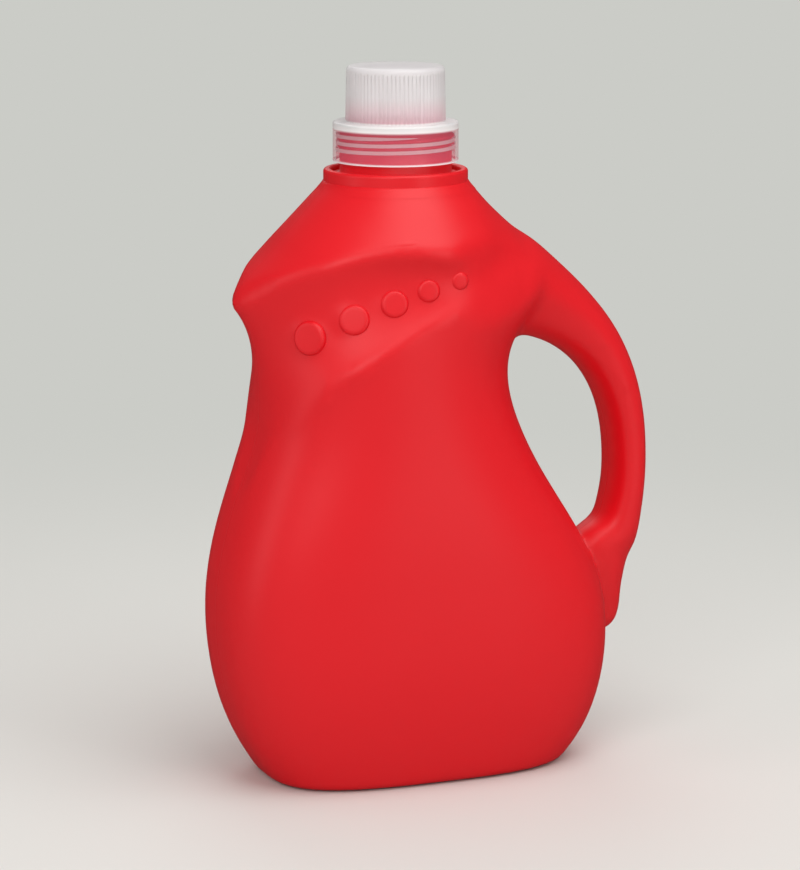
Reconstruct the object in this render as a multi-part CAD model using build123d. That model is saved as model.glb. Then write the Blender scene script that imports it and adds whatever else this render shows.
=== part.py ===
from build123d import *
import math
import os

os.makedirs("parts", exist_ok=True)

# A blow-moulded detergent jerrycan with its grip blown in one piece with the body, a
# screw cap whose upper part is a dosing cup, and the ring that seals the cap on the rim.
# The grip is towards +X, the front towards -Y, and the jerrycan stands on Z = 0.
# The mould halves meet in the plane Y = 0, so the front and the back are alike.
# Sideways sizes are measured from the axis of the neck.

# Body
body_left = 84.0
body_right = 95.0
body_half_depth = 53.0
body_top = 260.5
wall = 1.3
ring_points = 24
round_shares = (1.0, 0.8, 0.6, 0.45, 0.33, 0.2)
heel_radius = 3.5
push_up_margin = 11.0
push_up_slant = 5.0
push_up_depth = 4.0

# The body's rings from the base up: height, left, right and depth as shares of the four
# sizes above, and how square the ring is, where 2 is an ellipse
ring_shares = (
    (0.000, 0.730, 0.780, 0.740, 3.0),
    (0.046, 0.820, 0.875, 0.830, 3.0),
    (0.114, 0.915, 0.953, 0.920, 3.0),
    (0.210, 0.985, 0.995, 0.985, 2.9),
    (0.310, 1.000, 0.965, 1.000, 2.8),
    (0.404, 0.955, 0.845, 1.000, 2.7),
    (0.499, 0.870, 0.685, 0.985, 2.5),
    (0.595, 0.795, 0.555, 0.970, 2.3),
    (0.672, 0.795, 0.505, 0.970, 2.2),
    (0.749, 0.835, 0.560, 0.975, 2.2),
    (0.822, 0.900, 0.690, 0.980, 2.3),
    (1.000, 0.935, 0.715, 0.980, 2.3),
)

# Shoulder, collar and neck
shoulder_slope = 48.2
shoulder_reach = 110.0
ridge_radius = 5.0
collar_radius = 31.25
collar_height = 5.5
collar_lip = 3.6
collar_sink = 3.0
collar_edge_radius = 1.4
moat_depth = 2.2
neck_radius = 24.2
neck_bore_radius = 22.2
neck_rise = 23.0

# The hollow band under the shoulder, in sections from the left side to the grip. Each
# has its upper end and its lower end as shares of the body's left, depth and top, its
# hollow as a share of the band's, and the way it faces in degrees.
band_hollow = 10.5
band_overrun_share = 1.25
band_clear = 35.0
band_shares = (
    ((-0.885, 0.000, 0.817), (-0.887, 0.000, 0.484), 1.00, 180.0),
    ((-0.800, -0.255, 0.841), (-0.786, -0.566, 0.576), 0.74, 203.0),
    ((-0.619, -0.585, 0.872), (-0.536, -0.900, 0.679), 0.55, 228.0),
    ((-0.369, -0.821, 0.907), (-0.140, -0.962, 0.776), 0.40, 255.0),
    ((0.036, -0.968, 0.906), (0.167, -0.949, 0.817), 0.28, 268.0),
    ((0.321, -0.915, 0.887), (0.345, -0.906, 0.839), 0.15, 277.0),
    ((0.548, -0.811, 0.870), (0.571, -0.774, 0.845), 0.03, 295.0),
)

# The row of raised discs in the band: sideways and up as shares of the body's left and
# top, and the radius as a share of the first disc's
disc_radius = 7.0
disc_rise = 1.1
disc_sink = 1.2
disc_draft = 0.9
disc_bevel = 0.5
disc_shares = (
    (-0.615, 0.765, 1.000),
    (-0.422, 0.797, 0.886),
    (-0.223, 0.822, 0.800),
    (-0.048, 0.841, 0.657),
    (0.120, 0.854, 0.514),
)

# Grip, in sections from inside the shoulder round to its tail. Each has its place out
# from the neck and up, its thickness and its width, as shares of these four sizes.
grip_reach = 111.0
grip_top = 222.0
grip_thickness = 18.0
grip_width = 29.0
root_radius = 9.0
tail_radius = 1.0
grip_shares = (
    (0.072, 1.000, 2.67, 2.55),
    (0.234, 1.000, 2.89, 2.76),
    (0.396, 0.975, 2.72, 2.41),
    (0.545, 0.943, 2.24, 1.83),
    (0.702, 0.897, 1.72, 1.38),
    (0.856, 0.826, 1.32, 1.14),
    (0.964, 0.722, 1.06, 1.03),
    (1.001, 0.608, 0.95, 1.00),
    (0.995, 0.525, 0.95, 1.00),
    (0.981, 0.483, 1.02, 0.98),
    (0.946, 0.435, 1.28, 0.95),
    (0.899, 0.412, 1.56, 0.91),
    (0.892, 0.360, 1.28, 0.85),
    (0.892, 0.318, 1.11, 0.77),
    (0.894, 0.286, 1.02, 0.70),
    (0.856, 0.256, 0.78, 0.60),
    (0.766, 0.233, 0.44, 0.46),
)
# Half of a section of the grip, from its inner side over its corner to its outer side
grip_section_shares = (
    (-1.00, 0.00),
    (-0.96, 0.42),
    (-0.79, 0.72),
    (-0.55, 0.91),
    (-0.25, 0.96),
    (0.02, 0.99),
    (0.14, 0.97),
    (0.50, 0.83),
    (0.82, 0.52),
    (0.96, 0.24),
    (1.00, 0.00),
)

# Cap: a skirt round the neck, a plate over the rim and a fluted cup on the plate
thread_depth = 1.1
thread_clear = 0.4
skirt_wall = 1.4
skirt_gap = 3.2
plate_thickness = 1.5
plate_edge_radius = 1.0
cup_radius = 21.6
cup_draft = 0.4
cup_wall = 1.3
cup_height = 23.8
cup_edge_radius = 2.0
flute_count = 74
flute_radius = 0.6
flute_depth = 0.25
flute_top_gap = 3.2

# Sealing ring between the rim and the plate
ring_thickness = 1.2


def oval(left, right, depth, height, squareness):
    """A level outline between an ellipse and a rounded rectangle."""
    middle = (right - left) / 2
    half = (right + left) / 2
    points = []
    for index in range(ring_points):
        angle = 2 * math.pi * index / ring_points
        across = math.copysign(abs(math.cos(angle)) ** (2 / squareness), math.cos(angle))
        deep = math.copysign(abs(math.sin(angle)) ** (2 / squareness), math.sin(angle))
        points.append((middle + half * across, depth * deep, height))
    return make_face(Spline(*points, periodic=True))


def turned(*points):
    """A solid turned round the axis of the neck from its outline in radius and height."""
    outline = Polyline(*[(radius, 0, height) for radius, height in points], close=True)
    return revolve(make_face(outline), Axis.Z)


def body_form(inset):
    """The body's rings lofted, closed at the top by the cone of the shoulder."""
    rings = []
    for height_share, left_share, right_share, depth_share, squareness in ring_shares:
        left = body_left * left_share - inset
        right = body_right * right_share - inset
        depth = body_half_depth * depth_share - inset
        rings.append(oval(left, right, depth, inset + (body_top - inset) * height_share, squareness))
    slope = math.radians(shoulder_slope)
    drop = (shoulder_reach - collar_radius) * math.tan(slope)
    sink = inset / math.cos(slope) - inset * math.tan(slope)
    above = turned(
        (collar_radius - inset, body_top - sink),
        (collar_radius - inset, body_top + collar_height),
        (2 * shoulder_reach, body_top + collar_height),
        (2 * shoulder_reach, body_top - sink - drop),
        (shoulder_reach - inset, body_top - sink - drop),
    )
    return loft(rings) - above


def band_section(row, inset):
    """The hollow band cut across: an arc on the body, closed well outside it."""
    upper_shares, lower_shares, hollow_share, facing = row
    ends = []
    for x_share, y_share, z_share in (upper_shares, lower_shares):
        ends.append(Vector(x_share * body_left, y_share * body_half_depth, z_share * body_top))
    outward = Vector(math.cos(math.radians(facing)), math.sin(math.radians(facing)), 0)
    middle = (ends[0] + ends[1]) * 0.5
    half = (ends[1] - ends[0]) * 0.5
    hollow = band_hollow * hollow_share
    end_rise = hollow * (band_overrun_share**2 - 1)
    first = middle - half * band_overrun_share + outward * (end_rise - inset)
    last = middle + half * band_overrun_share + outward * (end_rise - inset)
    arc = ThreePointArc(first, middle - outward * (hollow + inset), last)
    sides = Polyline(last, last + outward * band_clear, first + outward * band_clear, first)
    return make_face(Wire([arc.edge(), *sides.edges()]))


def band_form(inset):
    """What the hollow band takes away, from the grip at the back round to the front."""
    front = [band_section(row, inset) for row in band_shares]
    back = [mirror(section, Plane.XZ) for section in front[1:]]
    return loft([*reversed(back), *front])


def grip_form(inset):
    """The grip, lofted through sections square to its run, with both ends inside the body."""
    places = []
    for out_share, up_share, _, _ in grip_shares:
        places.append(Vector(grip_reach * out_share, 0, grip_top * up_share))
    sections = []
    for index, (_, _, thickness_share, width_share) in enumerate(grip_shares):
        before = places[max(index - 1, 0)]
        after = places[min(index + 1, len(places) - 1)]
        run = (after - before).normalized()
        plane = Plane(places[index], x_dir=(-run.Z, 0, run.X), z_dir=run)
        half_thickness = grip_thickness * thickness_share / 2 - inset
        half_width = grip_width * width_share / 2 - inset
        near = [(half_thickness * out, half_width * side) for out, side in grip_section_shares]
        back = list(reversed(near))
        far = [(out, -side) for out, side in near[1:-1]]
        sections.append(plane * make_face(Spline(*back, *far, periodic=True)))
    return loft(sections)


def on_faces(shape, kind):
    """The edges of the faces of one kind, without their seams and circles."""
    edges = []
    for face in shape.faces().filter_by(kind):
        edges += [edge for edge in face.edges() if edge.geom_type not in (GeomType.LINE, GeomType.CIRCLE)]
    return edges


def rounded(shape, radius, edges):
    """The edges rounded, by less than the radius where the faces leave no room for it."""
    for share in round_shares:
        try:
            result = shape.fillet(radius * share, edges)
        except Exception:
            continue
        if result.is_valid:
            return result
    return shape


def waisted_form(inset):
    """The body with its hollow band and the rounded ridge between band and shoulder."""
    waisted = (body_form(inset) - band_form(inset)).solid()
    return rounded(waisted, ridge_radius - inset, on_faces(waisted, GeomType.CONE))


def push_up_form(grown):
    """The hollow that lifts the middle of the base, so that it stands on its heel."""
    _, left_share, right_share, depth_share, squareness = ring_shares[0]
    rings = []
    for margin, height in ((push_up_margin, 0), (push_up_margin + push_up_slant, push_up_depth + grown)):
        left = body_left * left_share - margin + grown
        right = body_right * right_share - margin + grown
        depth = body_half_depth * depth_share - margin + grown
        rings.append(oval(left, right, depth, height, squareness))
    return loft(rings)


# Bottle: body and grip joined, with a wide round at the grip's root and a narrow one
# where its tail runs out on the body
waisted = waisted_form(0)
grip = grip_form(0)
joined = (waisted + grip).solid()
seams = new_edges(waisted, grip, combined=joined)
root_edges = [edge for edge in seams if edge.center().Z > body_top / 2]
outer = rounded(joined, root_radius, root_edges)
tail_centers = [edge.center() for edge in seams if edge.center().Z < body_top / 2]
tail_edges = []
for edge in outer.edges():
    if any((edge.center() - center).length < tail_radius for center in tail_centers):
        tail_edges.append(edge)
outer = rounded(outer, tail_radius, tail_edges)

# Base: a rounded heel round a raised middle
heel_edges = outer.faces().sort_by(Axis.Z)[0].edges()
outer = rounded(outer, heel_radius, heel_edges)
outer = (outer - push_up_form(0)).solid()

# Discs: each is set square to the band where it stands, and again on the back
discs = []
for x_share, z_share, radius_share in disc_shares:
    sight = Axis((x_share * body_left, -2 * body_half_depth, z_share * body_top), (0, 1, 0))
    place, facing = min(outer.find_intersection_points(sight), key=lambda found: found[0].Y)
    radius = disc_radius * radius_share
    disc = Cone(radius + disc_draft, radius, disc_sink + disc_rise)
    disc = chamfer(disc.edges().sort_by(Axis.Z)[-1:], disc_bevel)
    discs.append(Plane(place, z_dir=facing) * Pos(0, 0, (disc_rise - disc_sink) / 2) * disc)
for disc in list(discs):
    discs.append(mirror(disc, Plane.XZ))

# Collar and neck, with a moat between the collar's lip and the neck
collar_top = body_top + collar_height
moat_floor = collar_top - moat_depth
rim = body_top + neck_rise
finish = turned(
    (0, body_top - collar_sink),
    (collar_radius, body_top - collar_sink),
    (collar_radius, collar_top),
    (collar_radius - collar_lip, collar_top),
    (collar_radius - collar_lip, moat_floor),
    (neck_radius, moat_floor),
    (neck_radius, rim),
    (0, rim),
)
lip_edges = [edge for edge in finish.edges().filter_by(GeomType.CIRCLE) if edge.center().Z == collar_top]
finish = finish.fillet(collar_edge_radius, lip_edges)
bottle = outer + discs + finish

# Hollow: the same forms again, one wall inside
hollow = waisted_form(wall) + grip_form(wall) - push_up_form(wall)
bore = Pos(0, 0, (body_top + rim) / 2) * Cylinder(neck_bore_radius, rim - body_top + 2 * collar_sink)
bottle = (bottle - hollow - bore).solid()

# Cap: skirt, plate and cup turned in one piece, then the flutes round the cup
skirt_bore = neck_radius + thread_depth + thread_clear
skirt_radius = skirt_bore + skirt_wall
skirt_bottom = collar_top + skirt_gap
plate_bottom = rim + ring_thickness
plate_top = plate_bottom + plate_thickness
cup_top = plate_top + cup_height
cap = turned(
    (skirt_bore, skirt_bottom),
    (skirt_radius, skirt_bottom),
    (skirt_radius, plate_top),
    (cup_radius, plate_top),
    (cup_radius - cup_draft, cup_top),
    (0, cup_top),
    (0, cup_top - cup_wall),
    (cup_radius - cup_draft - cup_wall, cup_top - cup_wall),
    (cup_radius - cup_wall, plate_bottom),
    (skirt_bore, plate_bottom),
)
cap_circles = cap.edges().filter_by(GeomType.CIRCLE)
plate_edge = [edge for edge in cap_circles if edge.radius > cup_radius + cup_wall and edge.center().Z > plate_bottom]
cap = cap.fillet(plate_edge_radius, plate_edge)
cap = cap.fillet(cup_edge_radius, cap.edges().filter_by(GeomType.CIRCLE).sort_by(Axis.Z)[-1:])
flute_length = cup_height - flute_top_gap
flute = Pos(cup_radius + flute_radius - flute_depth, 0, plate_top + flute_length / 2)
flute = flute * Rot(0, -math.degrees(math.atan(cup_draft / cup_height)), 0) * Cylinder(flute_radius, flute_length)
cap = (cap - [Rot(0, 0, turn * 360 / flute_count) * flute for turn in range(flute_count)]).solid()

# Sealing ring, flat on the rim and under the plate
ring_outer = skirt_bore - thread_clear
sealing_ring = turned(
    (neck_bore_radius, rim),
    (ring_outer, rim),
    (ring_outer, plate_bottom),
    (neck_bore_radius, plate_bottom),
)

# The jerrycan stands with the middle of its width on X = 0
shift = Pos((body_left - grip_reach - grip_thickness / 2) / 2, 0, 0)
export_step(shift * bottle, "parts/bottle.step")
export_step(shift * cap, "parts/cap.step")
export_step(shift * sealing_ring, "parts/sealing_ring.step")
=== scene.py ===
import math

import bmesh
import bpy
import numpy as np
from mathutils import Matrix, Vector
from mathutils.bvhtree import BVHTree
from mathutils.geometry import intersect_point_line


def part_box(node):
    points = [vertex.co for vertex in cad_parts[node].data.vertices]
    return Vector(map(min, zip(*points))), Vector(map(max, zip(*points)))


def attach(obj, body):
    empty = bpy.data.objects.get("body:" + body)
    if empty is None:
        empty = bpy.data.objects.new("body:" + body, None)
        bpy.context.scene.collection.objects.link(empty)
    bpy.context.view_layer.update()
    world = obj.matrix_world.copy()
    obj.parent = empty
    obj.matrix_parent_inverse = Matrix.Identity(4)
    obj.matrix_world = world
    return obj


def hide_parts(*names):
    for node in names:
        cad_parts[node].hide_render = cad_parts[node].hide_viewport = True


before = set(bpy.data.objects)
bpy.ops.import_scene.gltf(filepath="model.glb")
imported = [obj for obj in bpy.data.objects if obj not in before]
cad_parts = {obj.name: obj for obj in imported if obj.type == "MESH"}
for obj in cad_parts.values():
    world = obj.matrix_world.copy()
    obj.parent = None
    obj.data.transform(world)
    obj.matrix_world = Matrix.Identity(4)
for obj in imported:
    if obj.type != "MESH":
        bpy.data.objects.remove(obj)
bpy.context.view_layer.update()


# The jerrycan's body: high-density polyethylene blown in a two-part mould, coloured red
# all through, with the grip, collar and neck in the same shell. Its blown skin is rebuilt in
# fine even cells, so that the band, ridge and grip run into each other as softly as in a mould.
BODY_RED = "DE0918"
BODY_IOR = 1.52
BODY_ROUGHNESS = 0.42
BODY_SPECULAR = 0.40
BODY_CREASE = 35
WELD = 1e-6
SKIN_CELL = 0.00165
SKIN_PASSES = 6
collar_foot = 0.2605
collar_radius = 0.03125
shoulder_slope = math.radians(48.2)
# The skin is cut off at this radius, from this far under the collar's foot
skin_end = 0.0335
skin_overlap = 0.004
collar_clearance = 0.0002
bottle_low, bottle_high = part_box("bottle")
cap_low, cap_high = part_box("cap")
neck_x = (cap_low.x + cap_high.x) / 2


def linear(hex_colour):
    """An sRGB hex colour as linear red, green, blue and alpha."""
    channels = [int(hex_colour[place:place + 2], 16) / 255 for place in (0, 2, 4)]
    return [c / 12.92 if c <= 0.04045 else ((c + 0.055) / 1.055) ** 2.4 for c in channels] + [1.0]


def add_node(tree, kind, values=None, links=None, **settings):
    """A node with its settings, its socket values and its links from other sockets."""
    node = tree.nodes.new(kind)
    for name, value in settings.items():
        setattr(node, name, value)
    for socket, value in (values or {}).items():
        node.inputs[socket].default_value = value
    for socket, source in (links or {}).items():
        tree.links.new(source, node.inputs[socket])
    return node


def plain_material(name, colour, roughness, ior, **values):
    """A plastic of one colour and roughness, with its Principled shader and node tree."""
    material = bpy.data.materials.new(name)
    material.use_nodes = True
    tree = material.node_tree
    shader = tree.nodes["Principled BSDF"]
    shader.inputs["Base Color"].default_value = linear(colour)
    shader.inputs["Roughness"].default_value = roughness
    shader.inputs["IOR"].default_value = ior
    for socket, value in values.items():
        shader.inputs[socket.replace("_", " ")].default_value = value
    return material, tree, shader


def merged_shape(node):
    """A CAD node's mesh as one welded shape."""
    shape = bmesh.new()
    shape.from_mesh(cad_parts[node].data)
    bmesh.ops.remove_doubles(shape, verts=shape.verts, dist=WELD)
    return shape


def as_mesh(shape, name):
    """The shape as a mesh; the shape itself is freed."""
    mesh = bpy.data.meshes.new(name)
    shape.to_mesh(mesh)
    shape.free()
    mesh.materials.clear()
    return mesh


def placed(shape, name, sharp_degrees):
    """The shape as an object with smooth faces, creased where they turn sharply."""
    mesh = as_mesh(shape, name)
    mesh.shade_smooth()
    mesh.set_sharp_from_angle(angle=math.radians(sharp_degrees))
    piece = bpy.data.objects.new(name, mesh)
    bpy.context.scene.collection.objects.link(piece)
    return piece


def dress(piece, material, body, slot, *nodes):
    """The piece gets its material, rides on its body and stands for its CAD nodes."""
    piece.data.materials.append(material)
    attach(piece, body)
    if nodes:
        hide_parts(*nodes)


def off_axis(point):
    """A point's distance from the neck's axis."""
    return math.hypot(point.x - neck_x, point.y)


# The outside is what can be reached from the foot without crossing the neck's rim
finish = merged_shape("bottle")
rim_height = bottle_high.z - 10 * WELD
rim_faces = {face for face in finish.faces if all(v.co.z > rim_height for v in face.verts)}
foot_face = min(finish.faces, key=lambda face: face.calc_center_median().z)
outside = {foot_face}
waiting = [foot_face]
while waiting:
    for edge in waiting.pop().edges:
        for face in edge.link_faces:
            if face not in outside and face not in rim_faces:
                outside.add(face)
                waiting.append(face)

# The discs: their middle and the way they face are read from the solid on each side
disc_radius = 0.007
disc_rise = 0.0011
disc_foot = 0.0006
body_left = 0.084
# Sideways by the body's left reach, up by the collar's foot, and size by the largest disc
disc_site_shares = (
    (-0.615, 0.765, 1.0), (-0.422, 0.797, 0.886), (-0.223, 0.822, 0.8), (-0.048, 0.841, 0.657),
    (0.120, 0.854, 0.514),
)
solid_tree = BVHTree.FromBMesh(finish)
discs = []
for x_share, z_share, radius_share in disc_site_shares:
    for side in (-1, 1):
        eye = Vector((neck_x + body_left * x_share, side, collar_foot * z_share))
        site, facing, _, _ = solid_tree.ray_cast(eye, Vector((0, -side, 0)))
        discs.append((site, facing, disc_radius * radius_share))


def on_disc(face):
    """Whether all of a face lies on one of the discs."""
    for site, facing, radius in discs:
        reaches = []
        for vertex in face.verts:
            away = vertex.co - site
            rise = away.dot(facing)
            reaches.append(max((away - facing * rise).length, abs(rise)) - radius)
        if max(reaches) < disc_foot:
            return True
    return False


def smooth(shape, verts):
    """The vertices move half-way to the middle of their neighbours."""
    bmesh.ops.smooth_vert(
        shape, verts=verts, factor=0.5, use_axis_x=True, use_axis_y=True, use_axis_z=True
    )


# The outer skin alone, without the discs, is rebuilt in even cells
finish.faces.index_update()
skin = finish.copy()
skin.faces.ensure_lookup_table()
outside_places = {face.index for face in outside}
spare = [face for face in skin.faces if face.index not in outside_places or on_disc(face)]
bmesh.ops.delete(skin, geom=spare, context="FACES")
bmesh.ops.holes_fill(skin, edges=[edge for edge in skin.edges if edge.is_boundary], sides=0)
carrier = bpy.data.objects.new("skin", as_mesh(skin, "skin"))
bpy.context.scene.collection.objects.link(carrier)
cells = carrier.modifiers.new("cells", "REMESH")
cells.mode = "VOXEL"
cells.voxel_size = SKIN_CELL
skin = bmesh.new()
skin.from_object(carrier, bpy.context.evaluated_depsgraph_get())
bpy.data.objects.remove(carrier)
for _ in range(SKIN_PASSES):
    smooth(skin, skin.verts)


def eased(distance, reach):
    """One at no distance, falling softly to nothing at the reach."""
    rest = max(0.0, 1 - distance / reach)
    return rest * rest * (3 - 2 * rest)


def place_shares(point, place):
    """A point's way sideways and up from an oval place's middle, as shares of its reach."""
    x, z, reach_x, reach_z = place
    return (point.x - x) / reach_x, (point.z - z) / reach_z


def cubic_terms(x, z):
    """The powers that a cubic over two ways is made of."""
    return [x**i * z**j for i in range(4) for j in range(4 - i)]


# Where the band runs out into the grip's root the skin is a smooth cubic, led on from a ring
# of skin round that place: sideways, up and reach both ways, off the middle, ring and pull
run_out = (0.016, 0.222, 0.034, 0.024)
run_out_depth = 0.012
ring_from_share = 0.9
ring_to_share = 1.25
pull_share = 1.6
for side in (-1, 1):
    around = []
    for vertex in skin.verts:
        if vertex.co.y * side > run_out_depth:
            x, z = place_shares(vertex.co, run_out)
            around.append((math.hypot(x, z), cubic_terms(x, z), vertex))
    ring = [(terms, v.co.y) for distance, terms, v in around if ring_from_share < distance < ring_to_share]
    powers = np.array([terms for terms, _ in ring])
    depths = np.array([depth for _, depth in ring])
    cubic = np.linalg.lstsq(powers, depths, rcond=None)[0]
    for distance, terms, vertex in around:
        pull = min(1.0, pull_share * eased(distance, 1.0))
        if pull > 0:
            vertex.co.y += (float(np.dot(terms, cubic)) - vertex.co.y) * pull

# Where the blown skin swells or sinks off the solid: sideways, up, reach and lift
swells = (
    (0.036, 0.238, 0.030, 0.0011), (0.030, 0.2440, 0.012, 0.0020),
    (0.004, 0.2235, 0.022, -0.0040), (0.022, 0.2275, 0.022, -0.0030),
    (-0.098, 0.215, 0.034, 0.0028), (-0.070, 0.242, 0.030, 0.0012), (-0.092, 0.160, 0.024, -0.0015),
)
# The band's lower edge runs out in a low crest at each end, steeper above than below: its line
# sideways and up, its reach and lift, and how far along it fades
crest_lines = (
    ((-0.030, 0.201), (-0.053, 0.187), (-0.067, 0.174), (-0.084, 0.160)),
    ((-0.020, 0.2068), (-0.0025, 0.2147), (0.009, 0.219), (0.025, 0.221)),
)
crest_reach = 0.009
crest_lift = 0.0003
crest_fade = 0.045
# The ridge sags in front and behind: from and to sideways, height, reach up and down, and drop
sag_left = -0.050
sag_right = 0.030
sag_height = 0.238
sag_reach = 0.018
sag_drop = 0.003
sag_middle = (sag_left + sag_right) / 2
crests = [[Vector(point) for point in line] for line in crest_lines]
skin.normal_update()
moves = []
for vertex in skin.verts:
    spot = Vector((vertex.co.x, vertex.co.z))
    lift = 0.0
    for x, z, reach, rise in swells:
        lift += rise * eased(math.hypot(spot.x - x, spot.y - z), reach)
    for crest in crests:
        ends = eased((spot - crest[1]).length, crest_fade)
        for start, end in zip(crest, crest[1:]):
            _, share = intersect_point_line(spot, start, end)
            away = spot - start.lerp(end, max(0.0, min(1.0, share)))
            lift += crest_lift * ends * eased(away.length, crest_reach if away.y < 0 else crest_reach / 2)
    move = vertex.normal * lift
    along = eased(abs(spot.x - sag_middle), sag_right - sag_left)
    move.z -= sag_drop * along * eased(abs(spot.y - sag_height), sag_reach)
    moves.append((vertex, move))
for vertex, move in moves:
    vertex.co += move

# Where the mould's edges run out: sideways, up and reach both ways, and how often they are
# eased. Each time takes in another share of the place, so that no border is left round it.
soft_places = (
    ((0.016, 0.224, 0.044, 0.030), 24),
    ((0.026, 0.247, 0.018, 0.015), 70),
    ((-0.090, 0.182, 0.024, 0.026), 160),
    ((-0.094, 0.221, 0.014, 0.010), 20),
)
core_share = 0.35
next_share = 0.618
for place, passes in soft_places:
    near = [(math.hypot(*place_shares(v.co, place)), v) for v in skin.verts]
    near = [(distance, v) for distance, v in near if distance < 1]
    for step in range(passes):
        room = core_share + (1 - core_share) * (step * next_share % 1)
        inner = [v for distance, v in near if distance < room]
        smooth(skin, inner)

# The wall's inner face stands back where its outer skin is eased
stand_back = 0.005
stand_back_share = 1.3
finish.normal_update()
inner_moves = []
for vertex in finish.verts:
    if not any(face in outside for face in vertex.link_faces):
        for place, _ in soft_places:
            distance = math.hypot(*place_shares(vertex.co, place))
            inner_moves.append((vertex, vertex.normal * stand_back * eased(distance, stand_back_share)))
for vertex, move in inner_moves:
    vertex.co += move

# The collar and neck stay as they are, and the skin ends under the collar
spare = []
for face in outside:
    middle = face.calc_center_median()
    if off_axis(middle) > collar_radius + collar_clearance or middle.z < collar_foot - collar_clearance:
        spare.append(face)
bmesh.ops.delete(finish, geom=spare, context="FACES")
spare = []
for face in skin.faces:
    middle = face.calc_center_median()
    if middle.z > collar_foot - skin_overlap and off_axis(middle) < skin_end:
        spare.append(face)
bmesh.ops.delete(skin, geom=spare, context="FACES")
skin_tree = BVHTree.FromBMesh(skin)
finish.from_mesh(as_mesh(skin, "skin"))


def spun(outline, steps):
    """A skin turned round the upright axis from an outline of radius and height, facing up."""
    shape = bmesh.new()
    chain = [shape.verts.new((radius, 0, height)) for radius, height in outline]
    edges = [shape.edges.new(pair) for pair in zip(chain, chain[1:])]
    bmesh.ops.spin(
        shape, geom=chain + edges, cent=(0, 0, 0), axis=(0, 0, 1),
        angle=2 * math.pi, steps=steps, use_merge=True,
    )
    bmesh.ops.remove_doubles(shape, verts=shape.verts, dist=WELD)
    bmesh.ops.recalc_face_normals(shape, faces=shape.faces)
    if sum(face.normal.z for face in shape.faces) < 0:
        bmesh.ops.reverse_faces(shape, faces=shape.faces)
    return shape


# The collar's foot: a small round between the collar and the shoulder, out from the collar
# and up from the shoulder's slope
collar_steps = 120
foot_round = ((-0.0004, 0.0), (0.0003, 0.00045), (0.0009, 0.0002), (0.0016, 0.00008), (0.0034, 0.00004))
foot_outline = []
for out, rise in foot_round:
    foot_outline.append((collar_radius + out, collar_foot - out * math.tan(shoulder_slope) + rise))
collar_skin = spun(foot_outline, collar_steps)
collar_skin.transform(Matrix.Translation((neck_x, 0, 0)))
finish.from_mesh(as_mesh(collar_skin, "collar_skin"))

# Each disc is a low button with a rounded rim, let into the skin: out from its radius and up
disc_steps = 56
disc_sight = 0.01
disc_outline = (
    (-0.0020, 0.0), (-0.0011, -0.00004), (-0.0006, -0.00017), (-0.0002, -0.00042),
    (0.00012, -0.0008), (0.0004, -0.00125), (0.00055, -0.0024),
)
for site, facing, radius in discs:
    foot, _, _, _ = skin_tree.ray_cast(site + disc_sight * facing, -facing)
    button = spun([(0, 0)] + [(radius + out, up) for out, up in disc_outline], disc_steps)
    turn = facing.to_track_quat("Z", "Y").to_matrix().to_4x4()
    button.transform(Matrix.Translation(foot + disc_rise * facing) @ turn)
    finish.from_mesh(as_mesh(button, "button"))
body = placed(finish, "jerrycan_body", BODY_CREASE)

# Satin polyethylene: the grain scatters the highlight into a broad soft sheen, and the mould's
# two halves leave a fine parting line
GRAIN_SIZE = 0.0009
GRAIN_HEIGHT = 0.0002
SEAM_WIDTH = 0.0005
SEAM_HEIGHT = 0.00025
body_plastic, tree, shader = plain_material(
    "satin blown HDPE", BODY_RED, BODY_ROUGHNESS, BODY_IOR, Specular_IOR_Level=BODY_SPECULAR
)
place = add_node(tree, "ShaderNodeTexCoord")
grain = add_node(
    tree, "ShaderNodeTexNoise",
    values={"Scale": 1 / GRAIN_SIZE, "Detail": 2.0, "Roughness": 0.6},
    links={"Vector": place.outputs["Object"]},
)
axes = add_node(tree, "ShaderNodeSeparateXYZ", links={"Vector": place.outputs["Object"]})
off_seam = add_node(tree, "ShaderNodeMath", operation="ABSOLUTE", links={0: axes.outputs["Y"]})
seam = add_node(
    tree, "ShaderNodeMapRange",
    values={"From Min": 0.0, "From Max": SEAM_WIDTH, "To Min": 1.0, "To Max": 0.0},
    links={"Value": off_seam.outputs["Value"]},
    interpolation_type="SMOOTHSTEP",
)
seam_bump = add_node(
    tree, "ShaderNodeBump",
    values={"Strength": 0.5, "Distance": SEAM_HEIGHT},
    links={"Height": seam.outputs["Result"]},
)
grain_bump = add_node(
    tree, "ShaderNodeBump",
    values={"Strength": 0.10, "Distance": GRAIN_HEIGHT},
    links={"Height": grain.outputs["Fac"], "Normal": seam_bump.outputs["Normal"]},
)
tree.links.new(grain_bump.outputs["Normal"], shader.inputs["Normal"])
dress(body, body_plastic, "bottle", "bottle", "bottle")


# The neck's screw thread: one ridge of the same polyethylene, moulded on the outside of the
# neck. It is a little over two turns long and rises to the right, as a right-handed thread does.
neck_radius = 0.0242
thread_pitch = 0.003
thread_depth = 0.0010
thread_foot = 0.0016
thread_crest = 0.0007
thread_steps = 72
thread_crease = 40
thread_sink = 0.0001
thread_start = math.radians(-20)
thread_low = cap_low.z + 0.0035
neck_turns = 2.4
# The ends run out over this share of a turn, down to this share of the ridge, by this power
run_in_share = 0.125
tip_share = 0.04
run_in_power = 0.7


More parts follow.
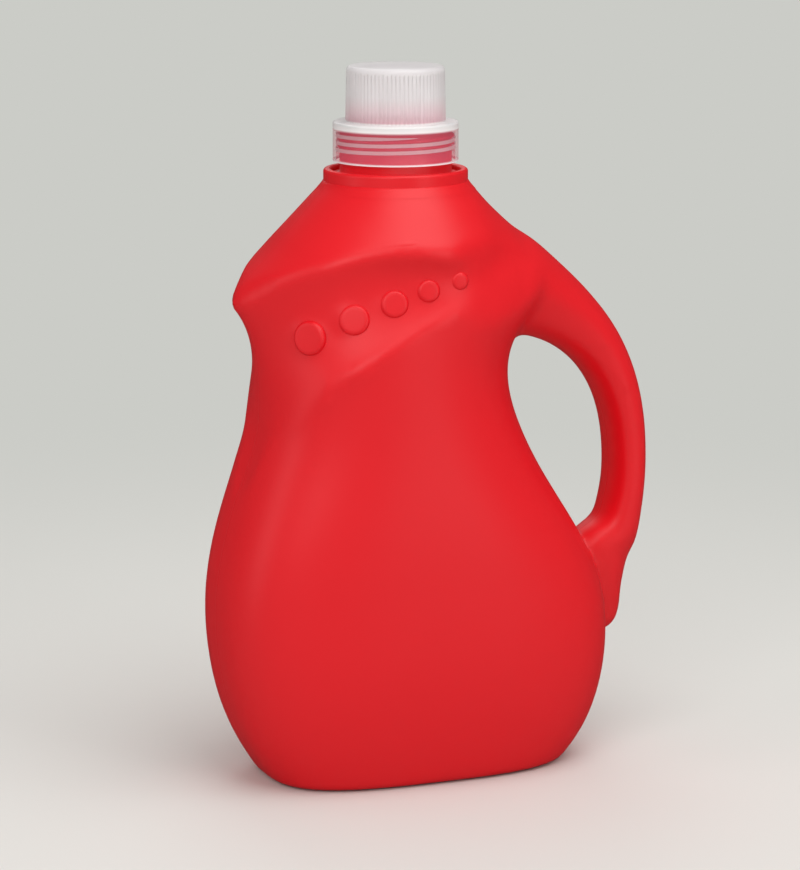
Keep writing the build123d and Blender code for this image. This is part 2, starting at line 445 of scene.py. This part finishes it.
def thread(name, radius, depth, low, turns):
    """A ridge swept up a right-handed helix, with its two ends run out into the wall."""
    shape = bmesh.new()
    outline = []
    for out, up in ((0, -thread_foot), (depth, -thread_crest), (depth, thread_crest), (0, thread_foot)):
        outline.append(shape.verts.new((radius + out, 0, up / 2)))
    face = shape.faces.new(outline)
    steps = round(turns * thread_steps)
    bmesh.ops.spin(
        shape, geom=[face], cent=(0, 0, 0), axis=(0, 0, 1), dvec=(0, 0, thread_pitch / thread_steps),
        angle=2 * math.pi * steps / thread_steps, steps=steps, use_duplicate=False,
    )
    fade = thread_steps * run_in_share
    for vertex in shape.verts:
        angle = math.atan2(vertex.co.y, vertex.co.x) % (2 * math.pi)
        turn = round(vertex.co.z / thread_pitch - angle / (2 * math.pi))
        step = (angle / (2 * math.pi) + turn) * thread_steps
        rest = min(step, steps - step) / fade
        share = tip_share + (1 - tip_share) * max(0.0, min(1.0, rest)) ** run_in_power
        reach = math.hypot(vertex.co.x, vertex.co.y)
        scale = (radius + (reach - radius) * share) / reach
        middle = step / thread_steps * thread_pitch
        vertex.co = (vertex.co.x * scale, vertex.co.y * scale, middle + (vertex.co.z - middle) * share)
    bmesh.ops.recalc_face_normals(shape, faces=shape.faces)
    shape.transform(Matrix.Translation((neck_x, 0, low)) @ Matrix.Rotation(thread_start, 4, "Z"))
    return placed(shape, name, thread_crease)


neck_thread = thread(
    "neck_thread", neck_radius - thread_sink, thread_depth, thread_low + thread_pitch / 2, neck_turns
)
dress(neck_thread, body_plastic, "bottle", "bottle")


# The sealing ring: a soft white liner of foamed polyethylene pressed into the cap,
# squeezed between the cap's plate and the rim of the neck.
LINER_WHITE = "F4F2F3"
LINER_ROUGHNESS = 0.6
LINER_IOR = 1.5
MOULDED_CREASE = 32
liner_foam, _, _ = plain_material("foamed PE liner", LINER_WHITE, LINER_ROUGHNESS, LINER_IOR)
liner = placed(merged_shape("sealing_ring"), "sealing_liner", MOULDED_CREASE)
dress(liner, liner_foam, "seal", "sealing_ring", "sealing_ring")


# The cap: natural polypropylene moulded in one piece, milky and see-through, screwed on the
# neck by the ridge in its skirt. Round the neck, the red that shows through the skirt and the
# foot of the dosing cup is painted into the cap's colour as a pink glow. Over the plate the cap
# is painted whiter: partly the white liner behind it, partly a painted highlight where the
# rounded shoulder catches the light from above. The cup's top stays milky.
CAP_MILKY = "F3EEF0"
# Painted highlight over the plate, partly the white liner seen behind it
CAP_LINER_AND_PAINTED_HIGHLIGHT = "F4F1F1"
# These two pinks are the red neck's glow through the skirt and the cup's foot, painted into the cap's
# colour
CAP_PAINTED_PINK_GLOW = "F0C6CE"
CAP_PAINTED_RED_GLOW = "EA7088"
CAP_IOR = 1.49
CAP_ROUGHNESS = 0.30
skirt_bore = 0.0257
cap_turns = 2.8
_, ring_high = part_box("sealing_ring")
plate_low = ring_high.z
# How the cap's colour and veil change up its height, with the painted glow of the red neck and
# the painted highlight over the plate: height, colour and veil
# The skirt's pink is the painted glow of the red neck behind it
skirt_milk_and_painted_glow = (
    (cap_low.z + 0.0004, CAP_MILKY, 0.75), (cap_low.z + 0.0009, CAP_PAINTED_RED_GLOW, 0.25),
    (plate_low - 0.0022, CAP_PAINTED_RED_GLOW, 0.25),
)
thread_shades = ((cap_low.z, CAP_MILKY, 0.45), (plate_low - 0.0022, CAP_MILKY, 0.45))
# At the plate, a painted highlight over the white liner; above it, the neck's painted pink glow
cup_milk_and_painted_light = (
    (plate_low - 0.0012, CAP_LINER_AND_PAINTED_HIGHLIGHT, 0.85), (plate_low + 0.0016, CAP_LINER_AND_PAINTED_HIGHLIGHT, 0.70),
    (plate_low + 0.0024, CAP_PAINTED_PINK_GLOW, 0.50), (plate_low + 0.0130, CAP_MILKY, 0.48),
)


def milky(name, shades):
    """Milky polypropylene, its colour and veil set by height, painted glow and highlight included."""
    material, tree, shader = plain_material(name, CAP_MILKY, CAP_ROUGHNESS, CAP_IOR)
    place = add_node(tree, "ShaderNodeTexCoord")
    axes = add_node(tree, "ShaderNodeSeparateXYZ", links={"Vector": place.outputs["Object"]})
    share = add_node(
        tree, "ShaderNodeMapRange", values={"From Min": cap_low.z, "From Max": cap_high.z},
        links={"Value": axes.outputs["Z"]},
    )
    ramp = add_node(tree, "ShaderNodeValToRGB", links={"Fac": share.outputs["Result"]})
    stops = ramp.color_ramp.elements
    while len(stops) < len(shades):
        stops.new(1.0)
    for stop, (height, colour, veil) in zip(stops, shades):
        stop.position = (height - cap_low.z) / (cap_high.z - cap_low.z)
        stop.color = linear(colour)[:3] + [veil]
    tree.links.new(ramp.outputs["Color"], shader.inputs["Base Color"])
    tree.links.new(ramp.outputs["Alpha"], shader.inputs["Alpha"])
    return material


cap_plastic_with_painted_light = milky("natural translucent PP", skirt_milk_and_painted_glow + cup_milk_and_painted_light)
cap = placed(merged_shape("cap"), "dosing_cap", MOULDED_CREASE)
dress(cap, cap_plastic_with_painted_light, "cap", "cap", "cap")

thread_plastic = milky("natural translucent PP thread", thread_shades + cup_milk_and_painted_light)
cap_thread = thread("cap_thread", skirt_bore + thread_sink, -thread_depth, thread_low, cap_turns)
dress(cap_thread, thread_plastic, "cap", "cap")


# A plain pale floor, matt and just under the jerrycan's foot, that fades into an even pale
# background. What the plastics mirror of it is kept dark, so that their colours stay full.
FLOOR_PALE = "D9D8D4"
BACKGROUND_PALE = "CBCCC7"
STUDIO_DARK = "404040"
FLOOR_ROUGHNESS = 0.8
FLOOR_IOR = 1.45
floor_half_width = 6.0
floor_drop = 0.0003
fade_from = 0.25
fade_to = 0.9
floor_paint, tree, shader = plain_material("matt pale floor", FLOOR_PALE, FLOOR_ROUGHNESS, FLOOR_IOR)
place = add_node(tree, "ShaderNodeTexCoord")
far = add_node(tree, "ShaderNodeVectorMath", operation="LENGTH", links={0: place.outputs["Object"]})
fade = add_node(
    tree, "ShaderNodeMapRange", values={"From Min": fade_from, "From Max": fade_to},
    links={"Value": far.outputs["Value"]}, interpolation_type="SMOOTHSTEP",
)
sight = add_node(tree, "ShaderNodeLightPath")
seen_far = add_node(
    tree, "ShaderNodeMath", operation="MULTIPLY",
    links={0: fade.outputs["Result"], 1: sight.outputs["Is Camera Ray"]},
)
plain = add_node(tree, "ShaderNodeEmission", values={"Color": linear(BACKGROUND_PALE), "Strength": 1.0})
blend = add_node(
    tree, "ShaderNodeMixShader",
    links={0: seen_far.outputs["Value"], 1: shader.outputs["BSDF"], 2: plain.outputs["Emission"]},
)
dim = add_node(tree, "ShaderNodeEmission", values={"Color": linear(STUDIO_DARK), "Strength": 1.0})
mirrored = add_node(
    tree, "ShaderNodeMixShader",
    links={0: sight.outputs["Is Glossy Ray"], 1: blend.outputs["Shader"], 2: dim.outputs["Emission"]},
)
tree.links.new(mirrored.outputs["Shader"], tree.nodes["Material Output"].inputs["Surface"])
floor_shape = bmesh.new()
bmesh.ops.create_grid(
    floor_shape, x_segments=1, y_segments=1, size=floor_half_width,
    matrix=Matrix.Translation((0, 0, -floor_drop)),
)
floor = bpy.data.objects.new("floor", as_mesh(floor_shape, "floor"))
floor.data.materials.append(floor_paint)
bpy.context.scene.collection.objects.link(floor)


# The studio: an even grey room with five soft lamps, the broadest above, and the camera at the
# photograph's angle.
STUDIO_GREY = "B8B8B6"
world = bpy.data.worlds.new("studio")
world.use_nodes = True
tree = world.node_tree
sight = add_node(tree, "ShaderNodeLightPath")
room = add_node(
    tree, "ShaderNodeMix", data_type="RGBA",
    values={6: linear(STUDIO_GREY), 7: linear(STUDIO_DARK)}, links={0: sight.outputs["Is Glossy Ray"]},
)
sky = add_node(
    tree, "ShaderNodeMix", data_type="RGBA",
    values={7: linear(BACKGROUND_PALE)}, links={0: sight.outputs["Is Camera Ray"], 6: room.outputs[2]},
)
tree.links.new(sky.outputs[2], tree.nodes["Background"].inputs["Color"])
bpy.context.scene.world = world
body_middle = Vector((0, 0, 0.16))


def soft_box(name, place, width, height, watts):
    """A lamp of the given width and height that faces the body's middle."""
    lamp = bpy.data.lights.new(name, "AREA")
    lamp.shape = "RECTANGLE"
    lamp.size = width
    lamp.size_y = height
    lamp.energy = watts
    piece = bpy.data.objects.new(name, lamp)
    piece.location = place
    piece.rotation_euler = (body_middle - Vector(place)).to_track_quat("-Z", "Y").to_euler()
    bpy.context.scene.collection.objects.link(piece)


soft_box("top_lamp", (0.22, -0.55, 1.45), 1.3, 1.1, 12.5)
soft_box("front_lamp", (0.62, -1.45, 0.50), 0.4, 1.2, 4)
soft_box("fill_lamp", (-0.95, -1.2, 0.95), 0.9, 0.9, 7)
soft_box("left_lamp", (-1.5, 0.0, 0.6), 0.4, 1.2, 2.5)
soft_box("back_lamp", (0.3, 1.3, 1.1), 0.9, 0.9, 4)

camera_data = bpy.data.cameras.new("photo_camera")
camera_data.lens = 143.4
camera_data.sensor_width = 36.0
camera = bpy.data.objects.new("photo_camera", camera_data)
camera.location = (-0.5756, -1.3800, 0.4414)
camera_aim = Vector((-0.01624, -0.00071, 0.1484))
camera.rotation_euler = (camera_aim - camera.location).to_track_quat("-Z", "Y").to_euler()
bpy.context.scene.collection.objects.link(camera)
bpy.context.scene.camera = camera
bpy.context.scene.view_settings.view_transform = "Standard"
